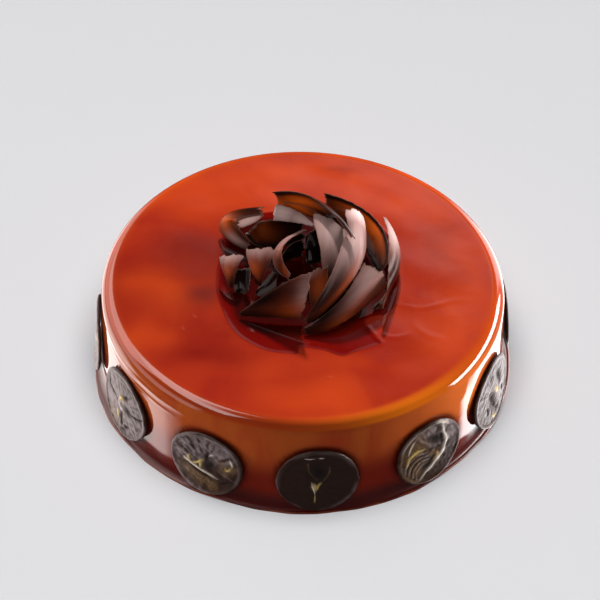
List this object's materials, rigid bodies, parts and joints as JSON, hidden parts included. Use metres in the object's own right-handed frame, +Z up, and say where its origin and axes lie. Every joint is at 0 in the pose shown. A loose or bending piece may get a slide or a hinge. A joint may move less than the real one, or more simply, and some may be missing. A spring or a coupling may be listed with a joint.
{
  "type": "caramel cake",
  "caption": "Round uncut cake under a glossy caramel glaze, with thin chocolate discs leaning around its side and a heap of curved chocolate curls on top.",
  "frame": {"origin": "middle of the cake's flat underside", "axes": "+Z up out of the cake's top, -Y towards the viewer of the picture, +X to that viewer's right"},
  "size_m": [0.194, 0.1938, 0.0787],
  "materials": {
    "caramel_glaze": "mirror-gloss red-orange caramel glaze, cloudy and slightly see-through",
    "disc_chocolate": "grey-brown dark chocolate with a creased face and gold lustre in the creases",
    "curl_chocolate": "satin dark chocolate with torn ends"
  },
  "bodies": {
    "root": {"glazed_cake": "caramel_glaze", "disc_01": "disc_chocolate", "disc_02": "disc_chocolate", "disc_03": "disc_chocolate", "disc_04": "disc_chocolate", "disc_05": "disc_chocolate", "disc_06": "disc_chocolate", "disc_07": "disc_chocolate", "disc_08": "disc_chocolate", "disc_09": "disc_chocolate", "disc_10": "disc_chocolate", "disc_11": "disc_chocolate", "disc_12": "disc_chocolate", "curl_back_hood": "curl_chocolate", "curl_back_inner": "curl_chocolate", "curl_back_mid": "curl_chocolate", "curl_back_right": "curl_chocolate", "curl_centre_back": "curl_chocolate", "curl_centre_front": "curl_chocolate", "curl_centre_rim": "curl_chocolate", "curl_centre_wall": "curl_chocolate", "curl_front_inner": "curl_chocolate", "curl_front_left": "curl_chocolate", "curl_front_right_low": "curl_chocolate", "curl_front_right_mid": "curl_chocolate", "curl_front_right_top": "curl_chocolate", "curl_front_right_under": "curl_chocolate", "curl_left_back_inner": "curl_chocolate", "curl_left_back_outer": "curl_chocolate", "curl_left_cup": "curl_chocolate", "curl_left_front_inner": "curl_chocolate", "curl_left_front_outer": "curl_chocolate", "curl_left_low": "curl_chocolate", "curl_right_rim": "curl_chocolate", "flake_left_back": "curl_chocolate"}
  },
  "joints": []
}
